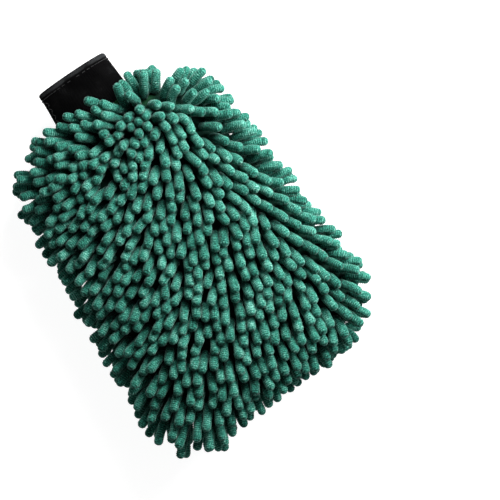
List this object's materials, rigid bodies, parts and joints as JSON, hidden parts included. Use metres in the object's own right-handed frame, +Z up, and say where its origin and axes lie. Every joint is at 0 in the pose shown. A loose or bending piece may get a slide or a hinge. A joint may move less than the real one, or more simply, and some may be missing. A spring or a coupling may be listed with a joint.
{
  "type": "wash mitt",
  "caption": "Chenille microfibre wash mitt: a hand-sized bag with fat pile noodles on both faces and a knitted elastic cuff.",
  "frame": {"origin": "on the floor under the middle of the mitt's box, the mitt lying on its rear face", "axes": "+Y along the mitt, from the fingers to the cuff's mouth; +Z up, out of the front face; +X across the hand"},
  "size_m": [0.2316, 0.334, 0.0807],
  "materials": {
    "chenille_green": "matte",
    "knit_green": "matte",
    "lining_grey": "matte",
    "elastic_black": "matte",
    "thread_black": "satin",
    "thread_green": "satin",
    "thread_grey": "satin"
  },
  "bodies": {
    "mitt": {"cuff_joining_stitches": "thread_black", "front_backing": "knit_green", "rear_backing": "knit_green", "front_lining": "lining_grey", "rear_lining": "lining_grey", "panel_seam_stitches": "thread_green", "lining_seam_stitches": "thread_grey", "front_noodle_row_01": "chenille_green", "front_noodle_row_02": "chenille_green", "front_noodle_row_03": "chenille_green", "front_noodle_row_04": "chenille_green", "front_noodle_row_05": "chenille_green", "front_noodle_row_06": "chenille_green", "front_noodle_row_07": "chenille_green", "front_noodle_row_08": "chenille_green", "front_noodle_row_09": "chenille_green", "front_noodle_row_10": "chenille_green", "front_noodle_row_11": "chenille_green", "front_noodle_row_12": "chenille_green", "front_noodle_row_13": "chenille_green", "front_noodle_row_14": "chenille_green", "front_noodle_row_15": "chenille_green", "front_noodle_row_16": "chenille_green", "front_noodle_row_17": "chenille_green", "front_noodle_row_18": "chenille_green", "front_noodle_row_19": "chenille_green", "front_noodle_row_20": "chenille_green", "front_noodle_row_21": "chenille_green", "front_noodle_row_22": "chenille_green", "front_noodle_row_23": "chenille_green", "rear_noodle_row_01": "chenille_green", "rear_noodle_row_02": "chenille_green", "rear_noodle_row_03": "chenille_green", "rear_noodle_row_04": "chenille_green", "rear_noodle_row_05": "chenille_green", "rear_noodle_row_06": "chenille_green", "rear_noodle_row_07": "chenille_green", "rear_noodle_row_08": "chenille_green", "rear_noodle_row_09": "chenille_green", "rear_noodle_row_10": "chenille_green", "rear_noodle_row_11": "chenille_green", "rear_noodle_row_12": "chenille_green", "rear_noodle_row_13": "chenille_green", "rear_noodle_row_14": "chenille_green", "rear_noodle_row_15": "chenille_green", "rear_noodle_row_16": "chenille_green", "rear_noodle_row_17": "chenille_green", "rear_noodle_row_18": "chenille_green", "rear_noodle_row_19": "chenille_green", "rear_noodle_row_20": "chenille_green", "rear_noodle_row_21": "chenille_green", "rear_noodle_row_22": "chenille_green", "rear_noodle_row_23": "chenille_green"},
    "cuff": {"elastic_cuff": "elastic_black", "cuff_mouth_stitches": "thread_black", "cuff_closing_stitches": "thread_black"}
  },
  "joints": [
    {"name": "cuff_flex", "type": "hinge", "parent": "mitt", "child": "cuff", "pos_m": [0, 0.115, 0.03632], "axis": [1, 0, 0], "range_deg": [-25, 25], "stiffness_Nm_per_rad": 0.05}
  ]
}
